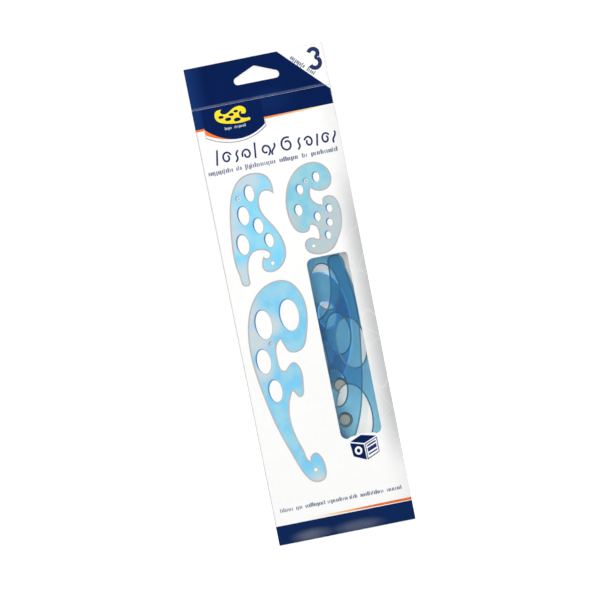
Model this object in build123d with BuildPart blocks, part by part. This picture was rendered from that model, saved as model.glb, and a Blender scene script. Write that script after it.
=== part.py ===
# French curve set in a hang-sell carton with a window.
# Millimetres. X runs right across the face, Y runs back through the depth, Z runs up.
# The origin is the middle of the carton's base.
import math
import os

from build123d import *

os.makedirs("parts", exist_ok=True)

# Carton
width = 85.0
depth = 12.0
front_height = 270.0
header_height = 25.5
board = 0.5
gap = 0.05

front = -depth / 2
back = depth / 2
side = width / 2

# Window in the front panel
window_left = 7.5
window_right = 32.7
window_bottom = 57.0
window_top = 169.3
window_corner = 4.0
window_tight_corner = 1.8
badge_tab = [(11.5, 57.0), (13.0, 57.8), (21.5, 59.0), (28.5, 57.6), (29.5, 57.0)]

# Delta hang hole, hulled from three circles: x, height above the header crease, radius
hang_circles = [(-11.7, 12.4, 2.2), (11.3, 12.4, 2.2), (-0.5, 16.8, 2.7)]
rear_hole_drop = 1.1

# End closures
closure_front_gap = 1.15
closure_rear_gap = 1.1
dust_flap_reach = 11.0
dust_flap_inset = 1.2
dust_flap_taper = 0.5
tongue_half_width = 27.5
tongue_height = 9.0
tongue_lean = 5.4
tongue_corner = 5.0
thumb_notch = 7.0

# Curves
curve_thickness = 2.0
edge_bevel = 0.4
gate_depth = 0.4
large_layer = -2.6
medium_layer = -0.2
small_layer = 2.2

# Each outline is a list of smooth runs that meet at sharp corners.
# Its own origin is the moulding gate, with the pointed end of the curve hanging below it.
large_runs = [
    [(11.5, -1.0), (7.0, -5.5), (3.5, -24.5), (8.0, -38.5), (10.5, -38.5)],
    [(10.5, -38.5), (23.5, -31.5), (27.0, -37.0), (27.0, -65.0), (24.5, -72.0), (21.0, -73.5),
     (15.0, -66.0), (13.5, -64.0)],
    [(13.5, -64.0), (8.0, -75.5), (9.5, -126.5), (13.5, -140.5), (16.0, -149.0), (18.0, -150.5)],
    [(18.0, -150.5), (19.5, -145.0), (23.5, -142.0), (34.0, -168.5), (30.0, -175.5), (16.5, -175.5),
     (10.5, -169.5), (0.0, -145.5), (-11.5, -110.5), (-24.0, -49.0), (-26.5, 2.0), (8.0, 65.5),
     (32.5, 65.5), (45.5, 49.0), (43.0, -2.0), (32.5, -18.5), (18.5, -17.5), (14.5, -10.5), (11.5, -1.0)],
]
medium_runs = [
    [(40.5, -2.5), (35.0, 2.5), (29.5, 3.0), (22.0, -10.5), (34.0, -39.0), (37.5, -81.0), (20.5, -90.0),
     (14.5, -88.0), (14.5, -70.5)],
    [(14.5, -70.5), (20.5, -73.0), (22.5, -70.0), (11.0, -62.5), (-5.5, -94.0), (-6.5, -99.5),
     (-14.0, -99.5), (-16.0, -92.0), (-18.0, -79.0), (-17.0, -39.0), (14.5, 25.5), (34.0, 22.0),
     (40.5, -2.5)],
]
small_runs = [
    [(3.5, -9.0), (3.5, -23.5), (13.5, -30.5)],
    [(13.5, -30.5), (14.0, -27.5), (14.5, -24.0), (21.5, -21.0), (32.5, -49.5), (22.0, -75.0),
     (16.0, -82.0), (-15.0, -77.0), (-13.5, -67.5), (-3.0, -66.0), (1.0, -68.0), (2.5, -67.5)],
    [(2.5, -67.5), (-2.5, -51.0), (-5.0, -50.5)],
    [(-5.0, -50.5), (-8.0, -57.0), (-18.0, -57.0), (-26.0, -45.5), (-1.5, 18.5), (18.0, 18.0),
     (29.5, 1.0), (24.5, -12.0), (13.5, -14.5), (3.5, -9.0)],
]

# Elliptical ink holes: centre x, centre z, half width, half height
large_holes = [(27.5, 25.0, 11.5, 20.0), (-4.5, 19.5, 10.0, 18.5), (-13.0, -23.5, 8.5, 15.5),
               (-6.0, -60.5, 8.0, 14.0)]
medium_holes = [(13.5, 3.5, 5.5, 10.0), (2.0, -20.5, 6.5, 11.5), (16.5, -35.0, 5.5, 9.5),
                (25.5, -53.5, 5.0, 8.5), (-5.0, -53.0, 7.0, 12.5)]
small_holes = [(12.5, 2.0, 4.5, 7.0), (-8.5, -8.5, 4.5, 7.0), (-14.5, -31.5, 5.0, 8.0),
               (5.5, -43.0, 4.0, 6.5), (20.5, -36.0, 4.0, 5.5), (18.0, -52.0, 4.0, 5.5),
               (13.5, -66.0, 3.5, 5.5)]

# Small hanging hole in each curve: x, z, radius
large_pin = (22.0, -162.0, 2.1)
medium_pin = (24.0, -80.0, 1.9)
small_pin = (-5.5, -75.0, 1.9)
gate_radius = 4.0

# Where each gate lies in the carton, and how far the upside-down curve leans, in degrees
large_gate = (13.0, 90.0)
large_lean = 3.0
medium_gate = (11.9, 68.2)
medium_lean = -1.5
small_gate = (-0.5, 101.9)
small_lean = 0.0


def face_plane(rear):
    """A plane seen from the front, from which an extrusion comes forward."""
    return Plane(origin=(0, rear, 0), x_dir=(1, 0, 0), z_dir=(0, -1, 0))


def curve_plane(gate, lean, rear):
    """The same plane with its origin at a gate, turned upside down and leaning."""
    turn = math.radians(180 + lean)
    across = (math.cos(turn), 0, math.sin(turn))
    return Plane(origin=(gate[0], rear, gate[1]), x_dir=across, z_dir=(0, -1, 0))


def french_curve(runs, holes, pin, gate, lean, rear):
    """One moulded curve with bevelled edges, ink holes and the gate's round recess."""
    place = curve_plane(gate, lean, rear)
    with BuildPart() as body:
        with BuildSketch(place):
            with BuildLine():
                for run in runs:
                    Spline(*run)
            make_face()
            for x, z, half_width, half_height in holes:
                with Locations((x, z)):
                    Ellipse(half_width, half_height, mode=Mode.SUBTRACT)
            with Locations((pin[0], pin[1])):
                Circle(pin[2], mode=Mode.SUBTRACT)
        extrude(amount=curve_thickness)
        rims = body.faces().filter_by(Axis.Y)
        chamfer(rims.edges(), edge_bevel)
        with BuildSketch(curve_plane(gate, lean, rear - curve_thickness + gate_depth)):
            Circle(gate_radius)
        extrude(amount=gate_depth + 1, mode=Mode.SUBTRACT)
    return body


# Body panels
with BuildPart() as front_panel:
    with BuildSketch(face_plane(front + board)):
        with Locations((0, (front_height + board + gap) / 2)):
            Rectangle(width, front_height - board - gap)
        with BuildSketch(mode=Mode.PRIVATE) as window:
            with Locations(((window_left + window_right) / 2, (window_bottom + window_top) / 2)):
                Rectangle(window_right - window_left, window_top - window_bottom)
            corners = window.vertices()
            tight = corners.sort_by(Axis.Y)[-2:].sort_by(Axis.X)[-1]
            fillet([corner for corner in corners if corner != tight], window_corner)
            fillet(window.vertices().group_by(Axis.Y)[-1].sort_by(Axis.X)[-1], window_tight_corner)
            with BuildLine():
                Polyline(*badge_tab, close=True)
            make_face(mode=Mode.SUBTRACT)
        add(window.sketch, mode=Mode.SUBTRACT)
    extrude(amount=board)
front_panel.part.label = "front_panel"
export_step(front_panel.part, "parts/front_panel.step")

with BuildPart() as back_panel:
    with BuildSketch(face_plane(back)):
        with Locations((0, (front_height - board - gap) / 2)):
            Rectangle(width, front_height - board - gap)
        with Locations((0, 0)):
            Circle(thumb_notch, mode=Mode.SUBTRACT)
    extrude(amount=board)
back_panel.part.label = "back_panel"
export_step(back_panel.part, "parts/back_panel.step")

side_bottom = 2 * (board + gap) + gap
side_top = front_height - side_bottom
side_size = (board, depth - 2 * board, side_top - side_bottom)
side_middle = (side_bottom + side_top) / 2

with BuildPart() as left_side_panel:
    with Locations((-side + board / 2, 0, side_middle)):
        Box(*side_size)
left_side_panel.part.label = "left_side_panel"
export_step(left_side_panel.part, "parts/left_side_panel.step")

with BuildPart() as right_side_panel:
    with Locations((side - board / 2, 0, side_middle)):
        Box(*side_size)
right_side_panel.part.label = "right_side_panel"
export_step(right_side_panel.part, "parts/right_side_panel.step")

# The glue flap folds in from the left side panel and is glued inside the back panel.
with BuildPart() as glue_flap:
    with BuildSketch(face_plane(back - board)):
        with BuildLine():
            Polyline((-side + board, 4), (-30, 10), (-30, front_height - 10),
                     (-side + board, front_height - 4), close=True)
        make_face()
    extrude(amount=board)
glue_flap.part.label = "glue_flap"
export_step(glue_flap.part, "parts/glue_flap.step")


def header_ply(rear, bottom, hole_drop):
    """One thickness of the doubled header, with the hang hole through it."""
    with BuildPart() as ply:
        with BuildSketch(face_plane(rear)):
            with Locations((0, (bottom + front_height + header_height) / 2)):
                Rectangle(width, front_height + header_height - bottom)
            with BuildSketch(mode=Mode.PRIVATE) as hole:
                for x, z, radius in hang_circles:
                    with Locations((x, front_height + z - hole_drop)):
                        Circle(radius)
                make_hull()
            add(hole.sketch, mode=Mode.SUBTRACT)
        extrude(amount=board)
    return ply


header_front_ply = header_ply(front + board, front_height, 0)
header_front_ply.part.label = "header_front_ply"
export_step(header_front_ply.part, "parts/header_front_ply.step")

header_rear_ply = header_ply(front + 2 * board, front_height + gap, rear_hole_drop)
header_rear_ply.part.label = "header_rear_ply"
export_step(header_rear_ply.part, "parts/header_rear_ply.step")

# The top closure hinges on the back panel, and the bottom closure on the front panel.
with BuildPart() as top_closure:
    closure_depth = depth - closure_front_gap
    with Locations((0, back - closure_depth / 2, front_height - board / 2)):
        Box(width - 2 * gap, closure_depth, board)
top_closure.part.label = "top_closure"
export_step(top_closure.part, "parts/top_closure.step")

with BuildPart() as bottom_closure:
    closure_depth = depth - closure_rear_gap
    with Locations((0, front + closure_depth / 2, board / 2)):
        Box(width - 2 * gap, closure_depth, board)
bottom_closure.part.label = "bottom_closure"
export_step(bottom_closure.part, "parts/bottom_closure.step")

with BuildPart() as bottom_tuck_tongue:
    tongue_back = back - closure_rear_gap
    with BuildSketch(Plane.YZ.offset(-tongue_half_width)):
        with BuildLine():
            Polyline((tongue_back - board, board), (tongue_back, board),
                     (tongue_back - tongue_lean + board, board + tongue_height),
                     (tongue_back - tongue_lean, board + tongue_height), close=True)
        make_face()
    extrude(amount=2 * tongue_half_width)
    with BuildSketch(face_plane(back)):
        with Locations((0, board)):
            RectangleRounded(2 * tongue_half_width, 2 * tongue_height, tongue_corner)
    extrude(amount=depth, mode=Mode.INTERSECT)
bottom_tuck_tongue.part.label = "bottom_tuck_tongue"
export_step(bottom_tuck_tongue.part, "parts/bottom_tuck_tongue.step")


def dust_flap(hand, hinge_side, bottom):
    """A dust flap; hand is -1 left or 1 right, and hinge_side is the closure's hinge, -1 front or 1 back."""
    hinge_near = hinge_side * (back - dust_flap_inset)
    hinge_far = hinge_side * (back - dust_flap_inset - dust_flap_taper * dust_flap_reach)
    free = -hinge_side * (back - dust_flap_inset)
    root = hand * side
    tip = hand * (side - dust_flap_reach)
    with BuildPart() as flap:
        with BuildSketch(Plane.XY.offset(bottom)):
            with BuildLine():
                Polyline((root, hinge_near), (tip, hinge_far), (tip, free + hinge_side * 1.5),
                         (tip + hand * 1.5, free), (root, free), close=True)
            make_face()
        extrude(amount=board)
    return flap


top_flap_bottom = front_height - 2 * board - 2 * gap
top_dust_flap_left = dust_flap(-1, 1, top_flap_bottom)
top_dust_flap_left.part.label = "top_dust_flap_left"
export_step(top_dust_flap_left.part, "parts/top_dust_flap_left.step")

top_dust_flap_right = dust_flap(1, 1, top_flap_bottom)
top_dust_flap_right.part.label = "top_dust_flap_right"
export_step(top_dust_flap_right.part, "parts/top_dust_flap_right.step")

bottom_flap_bottom = board + 2 * gap
bottom_dust_flap_left = dust_flap(-1, -1, bottom_flap_bottom)
bottom_dust_flap_left.part.label = "bottom_dust_flap_left"
export_step(bottom_dust_flap_left.part, "parts/bottom_dust_flap_left.step")

bottom_dust_flap_right = dust_flap(1, -1, bottom_flap_bottom)
bottom_dust_flap_right.part.label = "bottom_dust_flap_right"
export_step(bottom_dust_flap_right.part, "parts/bottom_dust_flap_right.step")

# Curves, from the front layer to the rear one
large_curve = french_curve(large_runs, large_holes, large_pin, large_gate, large_lean, large_layer)
large_curve.part.label = "large_curve"
export_step(large_curve.part, "parts/large_curve.step")

medium_curve = french_curve(medium_runs, medium_holes, medium_pin, medium_gate, medium_lean, medium_layer)
medium_curve.part.label = "medium_curve"
export_step(medium_curve.part, "parts/medium_curve.step")

small_curve = french_curve(small_runs, small_holes, small_pin, small_gate, small_lean, small_layer)
small_curve.part.label = "small_curve"
export_step(small_curve.part, "parts/small_curve.step")
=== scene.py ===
"""Looks for the french curve set: a printed window carton and three clear blue curves."""

import math

import bmesh
import bpy
import numpy as np
from mathutils import Matrix, Vector


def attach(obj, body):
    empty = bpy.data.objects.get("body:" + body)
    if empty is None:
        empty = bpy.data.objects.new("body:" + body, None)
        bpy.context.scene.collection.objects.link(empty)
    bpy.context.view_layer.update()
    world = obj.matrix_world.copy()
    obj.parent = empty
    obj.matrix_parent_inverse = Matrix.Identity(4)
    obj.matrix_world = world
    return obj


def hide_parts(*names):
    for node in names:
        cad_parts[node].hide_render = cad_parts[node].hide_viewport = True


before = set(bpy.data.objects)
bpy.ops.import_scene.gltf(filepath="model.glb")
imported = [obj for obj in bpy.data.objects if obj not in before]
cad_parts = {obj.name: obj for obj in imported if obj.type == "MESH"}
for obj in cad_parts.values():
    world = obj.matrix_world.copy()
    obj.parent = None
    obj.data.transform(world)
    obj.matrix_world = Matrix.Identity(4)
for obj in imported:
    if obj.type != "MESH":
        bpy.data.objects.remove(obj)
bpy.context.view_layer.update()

MM = 0.001
HALF = 42.5  # half the face's width: shapes on the face count x from its left edge
FRONT = -6.0  # the face's y, and the back's is the same behind
CREASE = 270.0  # height of the crease below the header
TOP = 295.5
BOARD = 0.5  # the card's thickness
INK = 0.012  # an ink film's thickness
LIFT = 0.02  # height of one ink layer above the last
SHEET = 2.0  # a curve's thickness
SHEET_BEVEL = 0.85
STEP = 1.4  # spacing of the points along a smooth run
GATE_R = 4.0  # radius of the moulding gate's recess
PRINT_GATE_R = 1.35  # radius of the gate in the curves' pictures
GATE_GAP = 0.05  # between the gate's disc and the recess around it
GATE_DROP = 0.4  # how far the disc lies below the sheet's front
BITE = 0.4  # how far the disc stays back from a hole that breaks into its recess


# ---------------------------------------------------------------- shapes

def spline(points):
    """A smooth run through the points, by cubics. The first and last three points set its end slopes."""
    p = np.array(points, float)
    t = np.concatenate([[0], np.cumsum(np.hypot(*np.diff(p, axis=0).T))])
    n = len(p)
    h = np.diff(t)
    chord = np.diff(p, axis=0) / h[:, None]
    a = np.zeros((n, n))
    b = np.zeros((n, 2))
    a[0, 0] = a[-1, -1] = 1
    b[0] = chord[0] - (chord[1] - chord[0]) * h[0] / (h[0] + h[1])
    b[-1] = chord[-1] + (chord[-1] - chord[-2]) * h[-1] / (h[-1] + h[-2])
    for i in range(1, n - 1):
        a[i, i - 1] = h[i]
        a[i, i] = 2 * (h[i - 1] + h[i])
        a[i, i + 1] = h[i - 1]
        b[i] = 3 * (h[i] * chord[i - 1] + h[i - 1] * chord[i])
    slope = np.linalg.solve(a, b)
    out = []
    for i in range(n - 1):
        count = max(3, min(27, int(h[i] / STEP)))
        for k in range(count):
            s = k / count
            out.append(tuple(
                (2 * s**3 - 3 * s**2 + 1) * p[i] + (s**3 - 2 * s**2 + s) * h[i] * slope[i]
                + (3 * s**2 - 2 * s**3) * p[i + 1] + (s**3 - s**2) * h[i] * slope[i + 1]))
    return out


def outline(runs):
    return [q for run in runs for q in spline(run)]


def ellipse(x, z, a, b, count=56):
    return [(x + a * math.cos(2 * math.pi * k / count), z + b * math.sin(2 * math.pi * k / count))
            for k in range(count)]


def arc(x, z, a, b, start, end, count=14):
    """Points along an ellipse from one angle to another, in degrees."""
    turns = [math.radians(start + (end - start) * k / count) for k in range(count + 1)]
    return [(x + a * math.cos(t), z + b * math.sin(t)) for t in turns]


def rounded(left, bottom, right, top, radii):
    """A rectangle with its own radius at each corner, from bottom left round to top left."""
    corners = ((left, bottom, 1, 1, 180), (right, bottom, -1, 1, 270),
               (right, top, -1, -1, 0), (left, top, 1, -1, 90))
    out = []
    for r, (x, z, inward, up, start) in zip(radii, corners):  # start is the corner's first angle
        out += arc(x + inward * r, z + up * r, r, r, start, start + 90, 6)
    return out


def stroke(path, width):
    """The outline of a pen stroke along a path."""
    p = np.array(path, float)
    along = np.gradient(p, axis=0)
    along /= np.maximum(np.hypot(along[:, 0], along[:, 1])[:, None], 1e-9)
    side = np.stack([-along[:, 1], along[:, 0]], 1) * width / 2
    return [tuple(q) for q in p + side] + [tuple(q) for q in (p - side)[::-1]]


def face(points):
    """Face millimetres, from the bottom left corner, to frame millimetres."""
    return [(x - HALF, z) for x, z in points]


def moved(points, at=(0, 0), scale=1.0, turn=0.0, about=(0, 0)):
    """Scales and turns points about one of them, and puts that one at a new place."""
    c, s = math.cos(math.radians(turn)) * scale, math.sin(math.radians(turn)) * scale
    return [(at[0] + c * (x - about[0]) - s * (z - about[1]),
             at[1] + s * (x - about[0]) + c * (z - about[1])) for x, z in points]


def area(loop):
    return sum(a[0] * b[1] - b[0] * a[1] for a, b in zip(loop, loop[1:] + loop[:1])) / 2


def inset(loop, by):
    """Moves a closed loop inwards, and drops the points that would cross at tight corners."""
    p = np.array(loop if area(loop) > 0 else loop[::-1])
    along = np.roll(p, -1, 0) - np.roll(p, 1, 0)
    along /= np.hypot(along[:, 0], along[:, 1])[:, None]
    q = p + np.stack([-along[:, 1], along[:, 0]], 1) * by
    near = np.sqrt(((q[:, None] - p[None]) ** 2).sum(2)).min(1)
    return [tuple(v) for v in q[near > abs(by) * 0.93]]


UPRIGHT = Matrix(((1, 0, 0, 0), (0, 0, -1, 0), (0, 1, 0, 0), (0, 0, 0, 1)))


def sheet(name, groups, low, high, material, edge=None, behind=None, bevel=0.0, rings=2, place=UPRIGHT):
    """A flat sheet. Each group is an outline and its holes, in millimetres. It lies between low and
    high along the sheet's own normal, which is -Y for a sheet that faces front. The rim takes the edge
    material and the far side takes the one given as behind."""
    curve = bpy.data.curves.new(name, "CURVE")
    curve.dimensions = "2D"
    curve.fill_mode = "BOTH"
    curve.extrude = max((high - low) / 2 - bevel, 0.0)
    curve.bevel_depth = bevel
    curve.bevel_resolution = rings
    curve.offset = -bevel
    for group in groups:
        for k, loop in enumerate(group):
            if (area(loop) > 0) != (k == 0):
                loop = loop[::-1]
            spl = curve.splines.new("POLY")
            spl.points.add(len(loop) - 1)
            spl.points.foreach_set("co", [v for x, z in loop for v in (x, z, 0, 1)])
            spl.use_cyclic_u = True
    maker = bpy.data.objects.new(name + "_maker", curve)
    bpy.context.scene.collection.objects.link(maker)
    bpy.context.view_layer.update()
    mesh = bpy.data.meshes.new_from_object(maker.evaluated_get(bpy.context.evaluated_depsgraph_get()))
    bpy.data.objects.remove(maker)
    bpy.data.curves.remove(curve)
    bm = bmesh.new()
    bm.from_mesh(mesh)
    bmesh.ops.remove_doubles(bm, verts=bm.verts, dist=0.002)
    bmesh.ops.translate(bm, verts=bm.verts, vec=(0, 0, (low + high) / 2))
    bmesh.ops.recalc_face_normals(bm, faces=bm.faces)
    for f in bm.faces:
        f.smooth = True
        if edge and abs(f.normal.z) < 0.98:
            f.material_index = 1
        elif behind and f.normal.z < 0:
            f.material_index = 2
    bm.transform(Matrix.Scale(MM, 4))
    bm.transform(place)
    for m in (material, edge, behind):
        if m:
            mesh.materials.append(m)
    bm.to_mesh(mesh)
    bm.free()
    mesh.set_sharp_from_angle(angle=math.radians(38))
    obj = bpy.data.objects.new(name, mesh)
    bpy.context.scene.collection.objects.link(obj)
    return obj


# ---------------------------------------------------------------- materials

class Nodes:
    """A small helper for building a material's node tree."""

    def __init__(self, name):
        self.material = bpy.data.materials.new(name)
        self.material.use_nodes = True
        self.tree = self.material.node_tree
        self.tree.nodes.clear()
        self.output = self.tree.nodes.new("ShaderNodeOutputMaterial")
        self.place = self.add("ShaderNodeTexCoord").outputs["Object"]

    def add(self, kind, **values):
        node = self.tree.nodes.new(kind)
        for key, value in values.items():
            setattr(node, key, value)
        return node

    def put(self, socket, value):
        if isinstance(value, bpy.types.NodeSocket):
            self.tree.links.new(value, socket)
        elif hasattr(socket.default_value, "__len__") and not hasattr(value, "__len__"):
            socket.default_value = [value] * len(socket.default_value)
        elif hasattr(value, "__len__") and len(socket.default_value) == 4 and len(value) == 3:
            socket.default_value = (*value, 1)
        else:
            socket.default_value = value

    def math(self, kind, a, b=0.0, clamp=False):
        node = self.add("ShaderNodeMath", operation=kind)
        node.use_clamp = clamp
        self.put(node.inputs[0], a)
        self.put(node.inputs[1], b)
        return node.outputs[0]

    def axis(self, name):
        split = self.add("ShaderNodeSeparateXYZ")
        self.put(split.inputs[0], self.place)
        return split.outputs[name]

    def noise(self, scale, detail=3.0, rough=0.5, stretch=None):
        node = self.add("ShaderNodeTexNoise")
        where = self.place
        if stretch:
            mapping = self.add("ShaderNodeMapping")
            self.put(mapping.inputs[0], self.place)
            mapping.inputs["Scale"].default_value = stretch
            where = mapping.outputs[0]
        self.put(node.inputs["Vector"], where)
        self.put(node.inputs["Scale"], scale)
        self.put(node.inputs["Detail"], detail)
        self.put(node.inputs["Roughness"], rough)
        return node.outputs[0]

    def ramp(self, value, low, high, out_low=0.0, out_high=1.0):
        node = self.add("ShaderNodeMapRange", interpolation_type="SMOOTHSTEP")
        for k, v in enumerate((value, low, high, out_low, out_high)):
            self.put(node.inputs[k], v)
        return node.outputs[0]

    def mix(self, fac, a, b):
        node = self.add("ShaderNodeMix", data_type="RGBA")
        self.put(node.inputs[0], fac)
        self.put(node.inputs[6], a)
        self.put(node.inputs[7], b)
        return node.outputs[2]

    def bump(self, height, strength, distance):
        node = self.add("ShaderNodeBump")
        self.put(node.inputs["Strength"], strength)
        self.put(node.inputs["Distance"], distance)
        self.put(node.inputs["Height"], height)
        return node.outputs[0]

    def reach(self, x, z, cx, cz, a, b):
        """Distance from a centre, in units of an ellipse's half axes."""
        dx = self.math("DIVIDE", self.math("SUBTRACT", x, cx), a)
        dz = self.math("DIVIDE", self.math("SUBTRACT", z, cz), b)
        return self.math("SQRT", self.math("ADD", self.times(dx, dx), self.times(dz, dz)))

    def times(self, first, *rest):
        for value in rest:
            first = self.math("MULTIPLY", first, value)
        return first

    def principled(self, colour, rough, normal=None, specular=0.1):
        node = self.add("ShaderNodeBsdfPrincipled")
        self.put(node.inputs["Base Color"], colour)
        self.put(node.inputs["Roughness"], rough)
        self.put(node.inputs["Specular IOR Level"], specular)
        if normal is not None:
            self.put(node.inputs["Normal"], normal)
        return node.outputs[0]

    def end(self, shader):
        self.put(self.output.inputs[0], shader)
        return self.material


def rgb(r, g, b):
    """A colour given as screen values, as linear light."""
    return tuple(((v / 255 + 0.055) / 1.055) ** 2.4 if v > 10 else v / 255 / 12.92 for v in (r, g, b))


def card(name, colour, shade=None):
    """White coated carton board: faint mottle, fine fibres and an uneven sheen."""
    n = Nodes(name)
    fibre = n.noise(5200, 4, 0.6, (1, 1, 0.35))
    mottle = n.noise(260, 3)
    cloud = n.noise(38, 2)
    base = n.mix(n.ramp(mottle, 0.35, 0.7, 0.0, 0.25), colour, tuple(v * 0.95 for v in colour))
    base = n.mix(n.ramp(cloud, 0.4, 0.7, 0.0, 0.3), base, tuple(v * 0.965 for v in colour))
    if shade:
        base = shade(n, base)
    height = n.math("ADD", n.times(fibre, 0.5), n.times(mottle, 0.9))
    normal = n.bump(height, 0.25, 0.00006)
    return n.end(n.principled(base, n.ramp(mottle, 0.2, 0.8, 0.36, 0.50), normal))


def raw_card(name, colour, painted_light=0.0):
    """The uncoated inner side and cut edges of the board, with visible fibres. Its painted light is an
    emission that stands in for the light coming in through the window; it fades as painted shadow by the
    window's left and top edges, and dims up the pack."""
    n = Nodes(name)
    fibre = n.noise(1900, 5, 0.65, (1, 1, 0.22))
    fleck = n.noise(700, 2)
    base = n.mix(n.ramp(fibre, 0.3, 0.75), colour, tuple(v * 0.9 for v in colour))
    base = n.mix(n.ramp(fleck, 0.66, 0.8, 0, 0.35), base, rgb(176, 168, 156))
    normal = n.bump(fibre, 0.4, 0.00008)
    shader = n.principled(base, 0.82, normal, specular=0.2)
    if painted_light:
        # painted light and shadow: the emission stands in for light through the window, and these ramps
        # paint the window edges' shadow and a dimming up the pack
        side = n.ramp(n.axis("X"), 0.0050, 0.0175, 0.25, 1.0)
        top = n.ramp(n.axis("Z"), 0.1695, 0.1640, 0.55, 1.0)
        upper = n.ramp(n.axis("Z"), 0.125, 0.060, 0.66, 1.0)
        n.put(shader.node.inputs["Emission Color"], n.mix(0.5, base, rgb(240, 228, 214)))
        n.put(shader.node.inputs["Emission Strength"], n.times(side, top, upper, painted_light))
    return n.end(shader)


def painted_bend_shade(n, base, side, strength):
    """Painted shade: a grey line along the face's left (-1) or right (1) edge, where the card starts to
    bend back.
    """
    bend = n.ramp(n.times(n.axis("X"), side), (HALF - 1.2) * MM, (HALF - 0.1) * MM, 0.0, strength)
    return n.mix(bend, base, rgb(192, 194, 196))


def corner_shade(n, base):
    """Painted shade: the header's white corner, a little greyer at its right edge, where the card bends
    back.
    """
    return painted_bend_shade(n, base, 1, 0.35)


def front_shade(n, base):
    """The face's faint printed pattern of curve lines, with painted shade: a grey line down the left
    edge and grey that deepens to the right edge, where the face turns from the light.
    """
    x, z = n.axis("X"), n.axis("Z")
    # painted shade: a grey line down the left edge
    base = painted_bend_shade(n, base, -1, 0.9)
    lines = 0.0
    for cx, cz, a, b in ((30, 215, 30, 16), (52, 190, 24, 40), (46, 150, 19, 34), (60, 118, 30, 60),
                         (44, 84, 18, 30), (50, 48, 22, 24), (56, 232, 20, 26), (40, 178, 14, 22),
                         (48, 20, 14, 30), (38, 108, 7, 24)):
        reach = n.reach(x, z, cx * MM, cz * MM, a * MM, b * MM)
        off = n.times(n.math("ABSOLUTE", n.math("SUBTRACT", reach, 1.0)), a)
        lines = n.math("MAXIMUM", lines, n.ramp(off, 0.4, 0.1))
    # painted shade: grey that deepens towards the right edge
    right = n.ramp(x, 0.028, 0.0435)
    height = n.times(n.ramp(z, 0.016, 0.07), n.ramp(z, 0.245, 0.18))
    zone = n.times(n.ramp(x, 0.004, 0.034), n.math("MAXIMUM", height, 0.15))
    grey = n.times(right, n.math("MAXIMUM", height, 0.25), 0.8)
    base = n.mix(grey, base, rgb(176, 177, 180))
    return n.mix(n.times(lines, zone, 0.14), base, rgb(255, 255, 255))


def ink(name, colour, other=None, shade=None, specular=0.1):
    """Printed ink with a satin varnish. It mottles towards the other colour, which is darker if none is
    given."""
    n = Nodes(name)
    grain = n.noise(900, 3)
    cloud = n.noise(55, 3)
    base = n.mix(n.ramp(grain, 0.3, 0.7, 0, 0.35), colour, other or tuple(v * 0.8 for v in colour))
    base = n.mix(n.ramp(cloud, 0.35, 0.7, 0, 0.3), base, tuple(min(v * 1.25, 1) for v in colour))
    if shade:
        base = shade(n, base)
    normal = n.bump(grain, 0.15, 0.00004)
    rough = n.ramp(grain, 0.2, 0.8, 0.31, 0.44)
    return n.end(n.principled(base, rough, normal, specular))


def crease_shade(n, base):
    """Painted light on the navy: a pale line along the header's crease, partly a painted highlight on
    the fold and partly worn ink, a lighter left side where more light falls, and a soft painted sheen in
    the middle.
    """
    z, x = n.axis("Z"), n.axis("X")
    off = n.math("ABSOLUTE", n.math("SUBTRACT", z, (CREASE + 0.8) * MM))
    fold_highlight_and_wear = n.times(n.ramp(off, 0.0009, 0.0001), n.ramp(n.noise(160, 3), 0.2, 0.7, 0.35, 0.8))
    # painted light: the left side lighter and a sheen in the middle
    left = n.times(n.ramp(x, -0.030, -0.0425), 0.35)
    sheen = n.ramp(n.reach(x, z, 0.004, 0.267, 0.022, 0.012), 1.0, 0.1, 0.0, 0.15)
    painted_light = n.math("MAXIMUM", left, sheen)
    return n.mix(fold_highlight_and_wear, n.mix(painted_light, base, rgb(30, 72, 140)), rgb(88, 100, 140))


def band_shade(n, base):
    """Painted reflections on the bottom band: two soft grey highlights, and a dark dome cut into the
    left one.
    """
    x, z = n.axis("X"), n.axis("Z")
    painted_light = 0.0
    for cx, wide, bright in ((-0.021, 0.0165, 1.0), (0.007, 0.021, 0.75)):
        reach = n.reach(x, z, cx, 0.0035, wide, 0.0052)
        painted_light = n.math("MAXIMUM", painted_light, n.ramp(reach, 1.0, 0.2, 0.0, bright))
    dome = n.ramp(n.reach(x, z, -0.009, 0.0, 0.0062, 0.0018), 0.9, 1.1)
    patchy = n.ramp(n.noise(90, 2), 0.25, 0.7, 0.6, 1.0)
    return n.mix(n.times(painted_light, dome, patchy, 0.5), base, rgb(120, 128, 140))


def fading_ink(name, colour, start, end):
    """Ink that comes in from bare board along X, by way of a pale amber."""
    n = Nodes(name)
    grain = n.noise(700, 2)
    x = n.axis("X")
    base = n.mix(n.ramp(x, start * MM, (start + end) / 2 * MM), rgb(250, 249, 246), rgb(250, 206, 140))
    base = n.mix(n.ramp(x, (start * 0.7 + end * 0.3) * MM, end * MM), base, colour)
    base = n.mix(n.ramp(grain, 0.4, 0.8, 0, 0.1), base, rgb(255, 240, 225))
    return n.end(n.principled(base, 0.4, n.bump(grain, 0.1, 0.00003)))


def picture_ink(name, places, pale, deep, dull):
    """The printed curves' sky blue, pale to deep, turning dull in patches."""
    n = Nodes(name)
    x, z = n.axis("X"), n.axis("Z")
    grey = 0.0
    for cx, cz, radius in places:
        reach = n.reach(x, z, cx * MM, cz * MM, radius * MM, radius * MM)
        grey = n.math("MAXIMUM", grey, n.ramp(reach, 1.0, 0.25))
    cloud = n.noise(120, 3)
    grain = n.noise(800, 2)
    base = n.mix(n.ramp(cloud, 0.35, 0.65), pale, deep)
    base = n.mix(n.times(grey, 0.92), base, dull)
    base = n.mix(n.ramp(grain, 0.5, 0.8, 0, 0.3), base, rgb(160, 205, 226))
    return n.end(n.principled(base, 0.38, n.bump(grain, 0.1, 0.00003)))


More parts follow.
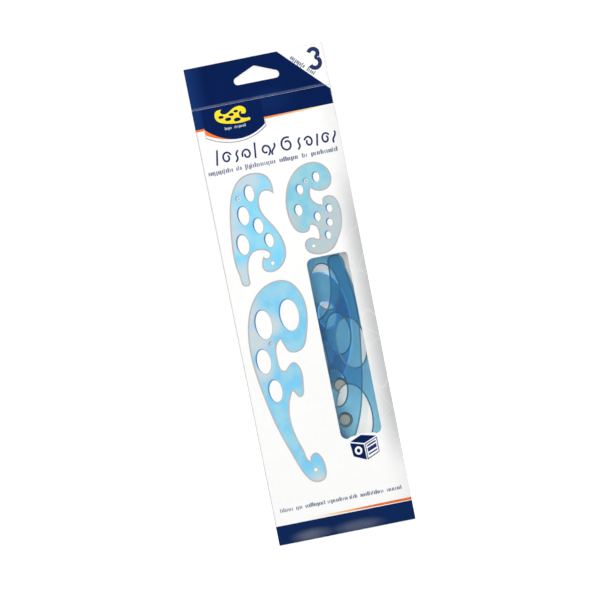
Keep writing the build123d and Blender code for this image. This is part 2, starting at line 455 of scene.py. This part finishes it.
def plastic(name, tint, haze, haze_amount, rough, sheen=1.0, painted_light=0.0, away=None):
    """Clear tinted plastic: it lets tinted light straight through, and mirrors lamps on its skin. Its
    painted light is an emission that stands in for the light the sheet carries to its edges, and away is
    that painted light's colour on edges that turn from the lamp."""
    n = Nodes(name)
    flow = n.noise(60, 3, 0.5, (1, 1, 0.4))
    dust = n.noise(2400, 3)
    through = n.add("ShaderNodeBsdfTransparent")
    n.put(through.inputs[0], n.mix(n.ramp(flow, 0.3, 0.7), tint, tuple(v ** 1.12 for v in tint)))
    dull = n.add("ShaderNodeBsdfDiffuse")
    n.put(dull.inputs[0], haze)
    # painted light: an emission on the edges, in a brighter colour where they face the lamp
    if painted_light:
        turned = n.add("ShaderNodeSeparateXYZ")
        n.put(turned.inputs[0], n.add("ShaderNodeNewGeometry").outputs["True Normal"])
        painted_edge_light = n.add("ShaderNodeEmission")
        n.put(painted_edge_light.inputs[0], n.mix(n.ramp(turned.outputs[0], 0.05, 0.5), haze, away or haze))
        n.put(painted_edge_light.inputs[1], painted_light)
        lit = n.add("ShaderNodeAddShader")
        n.put(lit.inputs[0], dull.outputs[0])
        n.put(lit.inputs[1], painted_edge_light.outputs[0])
        dull = lit
    gloss = n.add("ShaderNodeBsdfGlossy")
    n.put(gloss.inputs["Roughness"], n.ramp(dust, 0.2, 0.8, rough, rough + 0.1))
    n.put(gloss.inputs["Normal"], n.bump(flow, 0.15, 0.0004))
    facing = n.add("ShaderNodeLayerWeight").outputs["Facing"]
    mirror = n.math("ADD", n.times(n.math("POWER", facing, 5.0), 0.9), 0.04)
    veil = n.add("ShaderNodeMixShader")
    n.put(veil.inputs[0], n.ramp(dust, 0.3, 0.8, haze_amount * 0.7, haze_amount * 1.3))
    n.put(veil.inputs[1], through.outputs[0])
    n.put(veil.inputs[2], dull.outputs[0])
    skin = n.add("ShaderNodeMixShader")
    n.put(skin.inputs[0], n.math("MULTIPLY", mirror, sheen, clamp=True))
    n.put(skin.inputs[1], veil.outputs[0])
    n.put(skin.inputs[2], gloss.outputs[0])
    return n.end(skin.outputs[0])


white_front = card("front_board", rgb(248, 248, 247), shade=front_shade)
white_board = card("white_board", rgb(247, 247, 246))
header_white = card("header_front_board", rgb(247, 247, 246), shade=corner_shade)
inner_board = raw_card("inner_board", rgb(226, 225, 221))
# the inner back carries painted light, an emission standing in for the light through the window
painted_light_board = raw_card("inner_back_board", rgb(226, 225, 221), 0.6)
cut_edge = raw_card("cut_edge", rgb(232, 230, 224))
navy = ink("navy_ink", rgb(2, 26, 77), other=rgb(3, 32, 85), shade=crease_shade, specular=0.04)
badge_navy = ink("badge_navy_ink", rgb(3, 28, 80), other=rgb(4, 34, 88), specular=0.04)
band_navy = ink("band_navy_ink", rgb(6, 34, 82), other=rgb(7, 42, 90), shade=band_shade, specular=0.05)
title_ink = ink("title_ink", rgb(32, 50, 100))
small_ink = ink("small_ink", rgb(112, 121, 146))
yellow = ink("yellow_ink", rgb(250, 226, 40))
pale_ink = ink("pale_ink", rgb(170, 182, 205))
white_ink = ink("white_ink", rgb(246, 247, 250))
grey_line = ink("grey_line_ink", rgb(150, 152, 158))
orange = ink("orange_ink", rgb(245, 122, 44))
orange_in = fading_ink("orange_fade_in", rgb(230, 98, 24), -25, 20)
orange_out = fading_ink("orange_fade_out", rgb(246, 140, 66), 40, 4)
picture_edge = ink("picture_edge_ink", rgb(184, 178, 180))
pale_gate = ink("picture_gate_ink", rgb(212, 218, 222))
picture_dark = ink("picture_shadow_ink", rgb(84, 134, 186))
clear_blue = plastic("clear_blue_plastic", rgb(188, 227, 242), rgb(110, 175, 205), 0.04, 0.05)
# The curves' edges: their dark haze is painted shade for the dark lines a bevel shows, their emission is
# painted light, and the small curve's bright edge is a painted highlight
soft_edge = plastic("plastic_edge", rgb(150, 182, 202), rgb(66, 98, 118), 0.62, 0.12, 1.2, 0.55,
                    rgb(128, 172, 196))
painted_highlight_edge = plastic("bright_plastic_edge", rgb(150, 190, 216), rgb(70, 118, 160), 0.68, 0.12, 1.5, 1.5,
                      rgb(178, 214, 246))
# The gate disc and its rim carry a little painted light, and the rim's dark haze is painted shade
frosted = plastic("frosted_gate", rgb(200, 212, 210), rgb(160, 165, 160), 0.6, 0.35, 1.0, 0.1)
frosted_edge = plastic("frosted_gate_edge", rgb(90, 105, 118), rgb(60, 74, 80), 0.85, 0.3, 1.0, 0.3)

# ---------------------------------------------------------------- carton

opening = rounded(50.0, 57.0, 75.2, 169.3, (4, 4, 1.8, 4))
badge_tab = [(55.5, 57.8), (64.0, 59.0), (71.0, 57.6)]  # card that rises behind the cube badge
WINDOW = face(opening[:7] + badge_tab + opening[7:])
HANG_HOLE = [(-11.7, 282.4, 2.2), (11.3, 282.4, 2.2), (-0.5, 286.8, 2.7)]  # each arc's x, z and radius
THUMB_R = 7.0  # radius of the thumb notch at the foot of the back
BACK_TOP = 269.45


def hang_loop(drop, grow=0.0):
    """The delta hang hole: three arcs joined by straight sides."""
    (x0, z0, r0), (x1, z1, r1), (x2, z2, r2) = [(x, z - drop, r + grow) for x, z, r in HANG_HOLE]
    lean_right = math.degrees(math.atan2(x1 - x2, z2 - z1))
    lean_left = math.degrees(math.atan2(x2 - x0, z2 - z0))
    return (arc(x0, z0, r0, r0, 270, 180 - lean_left, 8)
            + arc(x2, z2, r2, r2, 90 + (90 - lean_left), 90 - (90 - lean_right), 8)
            + arc(x1, z1, r1, r1, 90 - (90 - lean_right), -90, 8))


def panel(name, node, groups, rear, front_side, rear_side, body="carton"):
    """A panel of card that stands for a CAD node. Its rear side is at y = rear."""
    obj = sheet(name, groups, -rear, -rear + BOARD, front_side, cut_edge, rear_side, bevel=0.18)
    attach(obj, body)
    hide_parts(node)


panel("front_panel_card", "front_panel",
      [[rounded(-HALF, 0.55, HALF, CREASE, (0.1, 0.1, 0.1, 0.1)), WINDOW]],
      FRONT + BOARD, white_front, inner_board)
panel("back_panel_card", "back_panel",
      [[[(-HALF, 0), (-THUMB_R, 0)] + arc(0, 0, THUMB_R, THUMB_R, 180, 0, 16)
        + [(HALF, 0), (HALF, BACK_TOP), (-HALF, BACK_TOP)]]],
      -FRONT, painted_light_board, white_board)
panel("header_front_card", "header_front_ply",
      [[rounded(-HALF, CREASE, HALF, TOP, (0.1, 0.1, 0.6, 0.6)), hang_loop(0)]],
      FRONT + BOARD, header_white, inner_board, body="header")
panel("header_rear_card", "header_rear_ply",
      [[rounded(-HALF, CREASE + 0.05, HALF, TOP, (0.1, 0.1, 0.6, 0.6)), hang_loop(1.1)]],
      FRONT + 2 * BOARD, white_board, white_board, body="header")

for node in ("left_side_panel", "right_side_panel", "glue_flap", "top_closure", "bottom_closure",
             "bottom_tuck_tongue", "top_dust_flap_left", "top_dust_flap_right",
             "bottom_dust_flap_left", "bottom_dust_flap_right"):
    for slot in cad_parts[node].material_slots:
        slot.material = inner_board if node == "glue_flap" else white_board

# ---------------------------------------------------------------- print


def print_on(name, groups, layer, material, body="carton"):
    """A film of ink on the face, at its layer's height."""
    low = -FRONT + LIFT * layer - LIFT / 2
    obj = sheet(name, groups, low, low + INK, material)
    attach(obj, body)


print_on("header_navy_print", [[face([(0.2, 270.1), (82.0, 270.1), (57.2, 295.3), (0.2, 295.3)]),
                                hang_loop(0, 0.15)]], 1, navy, "header")
print_on("front_navy_print",
         [[face([(0.2, 258.4), (84.6, 258.4), (84.6, 267.4), (82.1, 269.95), (0.2, 269.95)])]], 1, navy)
print_on("orange_left_stripe_print",
         [[face([(0.2, 257.1), (5.7, 257.1), (5.7, 258.45), (0.2, 258.45)])]], 1, orange)
print_on("orange_right_stripe_print",
         [[face([(41.5, 257.2), (84.6, 257.8), (84.6, 258.45), (41.5, 258.45)])]], 1, orange_out)


def badge(left, left_z, low, right, right_z, top=269.7):
    """A plate with upright sides and one sagging bottom edge through its lowest point."""
    wide = right - left
    sag = spline([(left, left_z), (left + wide * 0.27, low + (left_z - low) * 0.22),
                  ((left + right) / 2, low), (left + wide * 0.77, low + (right_z - low) * 0.26),
                  (right, right_z)])
    return face(sag + [(right, right_z), (right, top), (left, top)])


print_on("badge_grey_print", [[badge(5.2, 252.4, 246.8, 42.5, 253.0, 257)]], 2, grey_line)
print_on("badge_white_print", [[badge(5.4, 252.9, 247.3, 42.2, 253.6, 257.2)]], 3, white_ink)
print_on("badge_orange_print", [[badge(5.6, 254.4, 248.9, 42.0, 254.8, 257.6)]], 4, orange)
badge_sweep = spline([(5.6, 257.6), (10.5, 253.6), (17, 250.2), (25, 248.6), (34.5, 250.3), (42, 254.6)])
print_on("badge_navy_print",
         [[face(badge_sweep + [(42, 254.6), (42, 269.7), (5.6, 269.7)])]], 5, badge_navy)
print_on("bottom_band_print",
         [[face([(0.2, 0.75), (84.8, 0.75), (84.8, 12.4), (0.2, 12.4)])]], 1, band_navy)
print_on("bottom_stripe_print",
         [[face([(18, 13.2), (84.8, 12.8), (84.8, 14.5), (18, 13.9)])]], 1, orange_in)
print_on("numeral_three_print", [[face(stroke(
    arc(78.4, 290.0, 2.75, 2.65, 160, -62, 16) + arc(78.5, 284.3, 3.05, 3.15, 66, -160, 18), 2.45))]],
    1, title_ink, "header")


def words(name, x, z, height, lengths, gap, material, body="carton", lean=0.0, seed=3, layer=1):
    """Stand-ins for a line of small lettering: a row of plain upright ticks for each word."""
    groups = []
    across = x
    step = height * 0.42
    for length in lengths:
        count = max(2, int(length / step))
        for k in range(count):
            seed = (seed * 29 + 17) % 97
            tall = height if seed % 5 == 0 else height * 0.72
            width = step * (0.5 + 0.3 * (seed % 3) / 2)
            left = across + k * step
            drop = -height * 0.25 if seed % 11 == 0 else 0.0
            loop = [(left, z + drop), (left + width, z + drop),
                    (left + width, z + tall), (left, z + tall)]
            groups.append([face(moved(loop, (x, z), 1.0, lean, (x, z)))])
        across += length + gap
    print_on(name, groups, layer, material, body)


words("subtitle_print", 2.6, 229.9, 2.8, (15.5, 4.0, 19.5, 0.9, 10.0, 4.0, 17.6), 1.5, small_ink)
words("lower_line_print", 4.6, 20.4, 2.5, (9.0, 4.8, 12.8, 12.6, 5.8, 15.4, 9.6), 1.0, small_ink,
      seed=11)
words("corner_line_print", 64.0, 289.6, 2.7, (11.0, 6.2), 1.2, small_ink, "header", -46, seed=7)


TITLE_PEN = 1.1


def title_marks():
    """Stand-ins for the title: thin spirals and leaning strokes in two groups, which are no letters."""
    groups = []

    def sweep(x, wide, low, high, bend=0.0):
        """A leaning stroke with an easy double bend."""
        path = [(x + wide * k / 16 + bend * math.sin(math.pi * k / 8), low + (high - low) * k / 16)
                for k in range(17)]
        groups.append([stroke(path, TITLE_PEN)])

    def spiral(x, z, a, b, start, turn):
        """A curl that tightens as it turns."""
        path = []
        for k in range(41):
            angle = math.radians(start + turn * k / 40)
            shrink = 1 - 0.62 * k / 40
            path.append((x + a * shrink * math.cos(angle), z + b * shrink * math.sin(angle)))
        groups.append([stroke(path, TITLE_PEN)])

    sweep(8.8, 1.6, 235.2, 244.4)
    spiral(15.4, 238.8, 2.9, 3.5, 20, 400)
    sweep(20.4, 2.4, 235.2, 242.0, 0.7)
    spiral(27.6, 238.6, 2.8, 3.4, 200, -400)
    sweep(32.4, 1.0, 235.2, 244.6)
    spiral(39.2, 238.8, 3.0, 3.5, -70, 380)
    sweep(43.0, 1.8, 235.2, 242.0, -0.7)
    spiral(52.4, 239.6, 3.9, 4.5, 60, 430)
    sweep(58.6, 2.2, 235.2, 242.2, 0.7)
    spiral(65.6, 238.7, 2.6, 3.4, 160, -390)
    sweep(70.2, 1.2, 235.2, 242.4)
    spiral(76.0, 238.7, 2.6, 3.4, 30, 400)
    sweep(80.4, 1.6, 235.2, 242.2, -0.5)
    return [[face(loop) for loop in group] for group in groups]


print_on("title_print", title_marks(), 1, title_ink)

# ---------------------------------------------------------------- curves

# Each curve's outline is a list of smooth runs that meet at sharp corners, with the gate at its own
# origin. Its holes are ellipses: centre x, centre z, half width, half height. The pin hole has a radius.
# Rear is the y of its rear side. The keys from print_at on belong to its picture on the face, which has
# smaller holes and whose gate lies lower by the drop. Grey lists the picture's dull patches: x, z,
# radius. Inks are its pale, deep and dull blue.
CURVES = {
    "large": {
        "runs": [
            [(11.5, -1.0), (7.0, -5.5), (3.5, -24.5), (8.0, -38.5), (10.5, -38.5)],
            [(10.5, -38.5), (23.5, -31.5), (27.0, -37.0), (27.0, -65.0), (24.5, -72.0), (21.0, -73.5),
             (15.0, -66.0), (13.5, -64.0)],
            [(13.5, -64.0), (8.0, -75.5), (9.5, -126.5), (13.5, -140.5), (16.0, -149.0), (18.0, -150.5)],
            [(18.0, -150.5), (19.5, -145.0), (23.5, -142.0), (34.0, -168.5), (30.0, -175.5),
             (16.5, -175.5), (10.5, -169.5), (0.0, -145.5), (-11.5, -110.5), (-24.0, -49.0),
             (-26.5, 2.0), (8.0, 65.5), (32.5, 65.5), (45.5, 49.0), (43.0, -2.0), (32.5, -18.5),
             (18.5, -17.5), (14.5, -10.5), (11.5, -1.0)]],
        "holes": [(27.5, 25.0, 11.5, 20.0), (-4.5, 19.5, 10.0, 18.5), (-13.0, -23.5, 8.5, 15.5),
                  (-6.0, -60.5, 8.0, 14.0)],
        "pin": (22.0, -162.0, 2.1), "gate": (13.0, 90.0), "lean": 3.0, "rear": -2.6,
        "edge": soft_edge, "print_at": (19.7, 125.4), "print_scale": 1 / 1.95,
        "print_gate_drop": 2.5, "print_hole": 0.94,
        "grey": [(-34, 144, 14), (-32, 128, 15), (-21, 134, 9), (-31, 108, 10), (-10, 34, 9)],
        "inks": [rgb(154, 210, 230), rgb(124, 202, 237), rgb(203, 213, 217)]},
    "medium": {
        "runs": [
            [(40.5, -2.5), (35.0, 2.5), (29.5, 3.0), (22.0, -10.5), (34.0, -39.0), (37.5, -81.0),
             (20.5, -90.0), (14.5, -88.0), (14.5, -70.5)],
            [(14.5, -70.5), (20.5, -73.0), (22.5, -70.0), (11.0, -62.5), (-5.5, -94.0), (-6.5, -99.5),
             (-14.0, -99.5), (-16.0, -92.0), (-18.0, -79.0), (-17.0, -39.0), (14.5, 25.5), (34.0, 22.0),
             (40.5, -2.5)]],
        "holes": [(13.5, 3.5, 5.5, 10.0), (2.0, -20.5, 6.5, 11.5), (16.5, -35.0, 5.5, 9.5),
                  (25.5, -53.5, 5.0, 8.5), (-5.0, -53.0, 7.0, 12.5)],
        "pin": (24.0, -80.0, 1.9), "gate": (11.9, 68.2), "lean": -1.5, "rear": -0.2,
        "edge": soft_edge, "print_at": (17.4, 213.2), "print_scale": 1 / 1.9,
        "print_gate_drop": 0.0, "print_hole": 0.92,
        "grey": [(-36, 203, 15), (-34, 190, 13), (-30, 166, 13), (-19, 224, 13), (-8, 206, 5)],
        "inks": [rgb(152, 216, 237), rgb(126, 210, 244), rgb(198, 214, 221)]},
    "small": {
        "runs": [
            [(3.5, -9.0), (3.5, -23.5), (13.5, -30.5)],
            [(13.5, -30.5), (14.0, -27.5), (14.5, -24.0), (21.5, -21.0), (32.5, -49.5), (22.0, -75.0),
             (16.0, -82.0), (-15.0, -77.0), (-13.5, -67.5), (-3.0, -66.0), (1.0, -68.0), (2.5, -67.5)],
            [(2.5, -67.5), (-2.5, -51.0), (-5.0, -50.5)],
            [(-5.0, -50.5), (-8.0, -57.0), (-18.0, -57.0), (-26.0, -45.5), (-1.5, 18.5), (18.0, 18.0),
             (29.5, 1.0), (24.5, -12.0), (13.5, -14.5), (3.5, -9.0)]],
        "holes": [(12.5, 2.0, 4.5, 7.0), (-8.5, -8.5, 4.5, 7.0), (-14.5, -31.5, 5.0, 8.0),
                  (5.5, -43.0, 4.0, 6.5), (20.5, -36.0, 4.0, 5.5), (18.0, -52.0, 4.0, 5.5),
                  (13.5, -66.0, 3.5, 5.5)],
        "pin": (-5.5, -75.0, 1.9), "gate": (-0.5, 101.9), "lean": 0.0, "rear": 2.2,
        "edge": painted_highlight_edge, "print_at": (59.3, 215.9), "print_scale": 1 / 1.9,
        "print_gate_drop": 0.0, "print_hole": 0.78,
        "grey": [(30, 188, 20), (32, 205, 11), (20, 174, 18), (2, 192, 10)],
        "inks": [rgb(156, 208, 218), rgb(132, 199, 221), rgb(188, 200, 202)]},
}


def crescent(x, z, a, b, thick):
    """A shadow along the upper left of a hole's rim, thickest at the middle."""
    outer = []
    for k in range(25):
        angle = math.radians(50 + 195 * k / 24)
        swell = thick * math.sin(math.pi * k / 24)
        outer.append((x + (a + swell) * math.cos(angle), z + (b + swell) * math.sin(angle)))
    return outer + arc(x, z, a, b, 50, 245, 24)[::-1]


def within(point, hole):
    x, z, a, b = hole
    return ((point[0] - x) / a) ** 2 + ((point[1] - z) / b) ** 2 < 1


def run(loop, hole, inside=False):
    """The stretch of a loop that lies outside an ellipse, or inside it."""
    kept = [within(p, hole) == inside for p in loop]
    if all(kept) or not any(kept):
        return loop if all(kept) else []
    first = next(i for i in range(len(loop)) if kept[i] and not kept[i - 1])
    return [loop[(first + k) % len(loop)] for k in range(sum(kept))]


for size, c in CURVES.items():
    body = size + "_curve"
    low = -c["rear"]
    at_gate = (Matrix.Translation((c["gate"][0] * MM, 0, c["gate"][1] * MM)) @ UPRIGHT
               @ Matrix.Rotation(math.radians(90 + c["lean"]), 4, "Z"))

    def quarter(loop):
        """Turned a quarter, the way round in which the fill of a long outline comes out whole."""
        return moved(loop, turn=90)

    holes = [ellipse(*h) for h in c["holes"]]
    pin = ellipse(c["pin"][0], c["pin"][1], c["pin"][2], c["pin"][2], 28)
    gate = ellipse(0, 0, GATE_R, GATE_R, 40)
    rims = holes + [gate]
    disc_r = GATE_R - GATE_GAP
    disc_loop = ellipse(0, 0, disc_r, disc_r, 72)
    for k, (x, z, a, b) in enumerate(c["holes"]):
        if run(gate, (x, z, a, b)) != gate:  # the gate's recess breaks into this hole
            joined = run(ellipse(x, z, a, b, 160), (0, 0, GATE_R, GATE_R)) + run(gate, (x, z, a, b))
            rims = holes[:k] + holes[k + 1:] + [joined]
            wider = (x, z, a + BITE, b + BITE)
            bite = run(ellipse(*wider, 320), (0, 0, disc_r, disc_r), inside=True)
            disc_loop = run(disc_loop, wider) + bite[::-1]
    cuts = [quarter(loop) for loop in [outline(c["runs"])] + rims + [pin]]
    real = sheet(size + "_curve_sheet", [cuts], low, low + SHEET, clear_blue, c["edge"],
                 bevel=SHEET_BEVEL, rings=0, place=at_gate)
    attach(real, body)
    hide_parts(body)
    disc = sheet(size + "_curve_gate", [[quarter(disc_loop)]], low, low + SHEET - GATE_DROP, frosted,
                 frosted_edge, bevel=0.7, rings=1, place=at_gate)
    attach(disc, body)

    def place_print(loop):
        return face(moved(loop, c["print_at"], c["print_scale"]))

    shrunk = [(x, z, a * c["print_hole"], b * c["print_hole"]) for x, z, a, b in c["holes"]]
    loops = [place_print(loop) for loop in [outline(c["runs"])] + [ellipse(*h) for h in shrunk] + [pin]]
    print_on("printed_" + size + "_edge", [loops], 1, picture_edge)
    fill = [inset(loops[0], 0.85)] + [inset(loop, -0.4) for loop in loops[1:]]
    print_on("printed_" + size + "_fill", [fill], 2,
             picture_ink("picture_" + size + "_ink", c["grey"], *c["inks"]))
    s, (px, pz) = c["print_scale"], c["print_at"]
    marks = [[crescent(px - HALF + x * s, pz + z * s, a * s, b * s, 0.95)] for x, z, a, b in shrunk]
    gx, gz = px - HALF, pz - c["print_gate_drop"]
    marks.append([crescent(gx, gz, PRINT_GATE_R, PRINT_GATE_R, 0.6)])
    print_on("printed_" + size + "_shadows", marks, 3, picture_dark)
    print_on("printed_" + size + "_gate",
             [[ellipse(gx, gz, PRINT_GATE_R, PRINT_GATE_R, 24)]], 3, pale_gate)
    print_on("printed_" + size + "_gate_dot",
             [[ellipse(gx + 0.1, gz - 0.1, 0.75, 0.75, 20)]], 4, picture_edge)

emblem = [outline(CURVES["medium"]["runs"])] + [ellipse(*h) for h in CURVES["medium"]["holes"]]
print_on("badge_emblem_print",
         [[face(moved(loop, (23.6, 262.6), 0.165, 90, (10, -38))) for loop in emblem]], 6, yellow)
words("badge_line_print", 17.6, 255.2, 1.7, (4.6, 7.8), 1.2, pale_ink, seed=5, layer=6)

# ---------------------------------------------------------------- cube badge

print_on("cube_border_print",
         [[face([(53.3, 55.6), (62.0, 59.2), (72.3, 56.6), (72.3, 45.2), (62.9, 40.9), (53.8, 45.0)])]],
         1, white_ink)
print_on("cube_top_print",
         [[face([(54.8, 54.9), (61.9, 57.9), (71.0, 55.7), (63.1, 52.5)])]], 2, badge_navy)
print_on("cube_left_print", [[face([(54.5, 54.2), (62.7, 51.8), (62.8, 42.2), (55.2, 45.7)]),
                              face(ellipse(58.8, 48.7, 2.3, 2.6, 30))],
                             [face(ellipse(58.8, 48.7, 1.1, 1.3, 24))]], 2, badge_navy)
print_on("cube_right_print",
         [[face([(63.3, 51.9), (71.3, 55.0), (71.3, 45.6), (63.3, 42.1)]),
           face([(63.8, 51.4), (70.8, 54.2), (70.8, 46.0), (63.8, 43.0)])]]
         + [[face([(64.4, z + 0.02), (70.2, z + 2.3), (70.2, z + 2.3 - tall), (64.4, z - tall)])]
            for z, tall in ((50.9, 1.0), (49.0, 2.3), (45.6, 0.9))], 2, title_ink)

# ---------------------------------------------------------------- stage

FLOOR = -0.07  # the floor's height, below the flaps when they are open

n = Nodes("floor_paint")
facing = n.add("ShaderNodeSeparateXYZ")
n.put(facing.inputs[0], n.add("ShaderNodeNewGeometry").outputs["Incoming"])
seen = n.add("ShaderNodeLightPath").outputs["Is Camera Ray"]
behind = n.times(seen, n.ramp(facing.outputs[1], -0.3, 0.3))
paint = n.mix(n.ramp(n.noise(30, 2), 0.3, 0.7), rgb(247, 247, 247), rgb(250, 250, 250))
matt = n.principled(n.mix(behind, paint, rgb(196, 197, 199)), 0.9)
n.put(matt.node.inputs["Emission Color"], (1, 1, 1))
# Seen from in front the floor is white, and from behind it is greyer.
n.put(matt.node.inputs["Emission Strength"],
      n.times(seen, n.ramp(facing.outputs[1], -0.1, -0.6, 0.1, 0.6)))
floor_mesh = bpy.data.meshes.new("floor")
corners = [(x, y, FLOOR) for x, y in ((-4, -4), (4, -4), (4, 4), (-4, 4))]
floor_mesh.from_pydata(corners, [], [(0, 1, 2, 3)])
floor_mesh.materials.append(n.end(matt))
floor = bpy.data.objects.new("floor", floor_mesh)
bpy.context.scene.collection.objects.link(floor)

world = bpy.data.worlds.new("studio")
world.use_nodes = True
sky = world.node_tree
backdrop = sky.nodes["Background"]
split = sky.nodes.new("ShaderNodeSeparateXYZ")
sky.links.new(sky.nodes.new("ShaderNodeTexCoord").outputs["Generated"], split.inputs[0])
fade = sky.nodes.new("ShaderNodeMapRange")  # white seen from in front, and greyer from behind
fade.interpolation_type = "SMOOTHSTEP"
for k, v in enumerate((-0.1, 0.6, 0.62, 1.05)):
    fade.inputs[k + 1].default_value = v
sky.links.new(split.outputs["Y"], fade.inputs[0])
seen = sky.nodes.new("ShaderNodeMix")
sky.links.new(sky.nodes.new("ShaderNodeLightPath").outputs["Is Camera Ray"], seen.inputs[0])
seen.inputs[2].default_value = 0.56  # how strongly the surroundings light the pack
sky.links.new(fade.outputs[0], seen.inputs[3])
sky.links.new(seen.outputs[0], backdrop.inputs[1])
backdrop.inputs[0].default_value = (1, 1, 1, 1)
bpy.context.scene.world = world


def lamp(name, at, target, size, watts):
    data = bpy.data.lights.new(name, "AREA")
    data.shape = "DISK"
    data.size = size
    data.energy = watts
    obj = bpy.data.objects.new(name, data)
    obj.location = at
    obj.rotation_euler = (Vector(target) - Vector(at)).to_track_quat("-Z", "Y").to_euler()
    bpy.context.scene.collection.objects.link(obj)


MIDDLE = (0, 0, 0.148)
lamp("key", (-0.55, -1.3, 0.95), MIDDLE, 0.5, 8.3)
lamp("fill", (0.9, -1.2, 0.25), MIDDLE, 0.9, 4.5)
lamp("rear", (0.7, 1.3, 0.6), MIDDLE, 0.8, 4.6)

# ---------------------------------------------------------------- camera

AIM = Vector((-0.0031, FRONT * MM, 0.1495))
DISTANCE = 1.2
TILT = math.radians(4.41)
ROLL = math.radians(11.31)
SEEN = 0.3571  # width of the view at the pack's face

camera_data = bpy.data.cameras.new("camera")
camera_data.sensor_width = 36
camera_data.lens = 36 * DISTANCE / SEEN
camera = bpy.data.objects.new("camera", camera_data)
camera.location = AIM + DISTANCE * Vector((0, -math.cos(TILT), math.sin(TILT)))
level = Matrix.Rotation(math.radians(90), 3, "X")
tilted = Matrix.Rotation(-TILT, 3, "X") @ level
camera.rotation_euler = (tilted @ Matrix.Rotation(-ROLL, 3, "Z")).to_euler()
bpy.context.scene.collection.objects.link(camera)
bpy.context.scene.camera = camera
bpy.context.scene.view_settings.view_transform = "Standard"
bpy.context.scene.cycles.transparent_max_bounces = 32
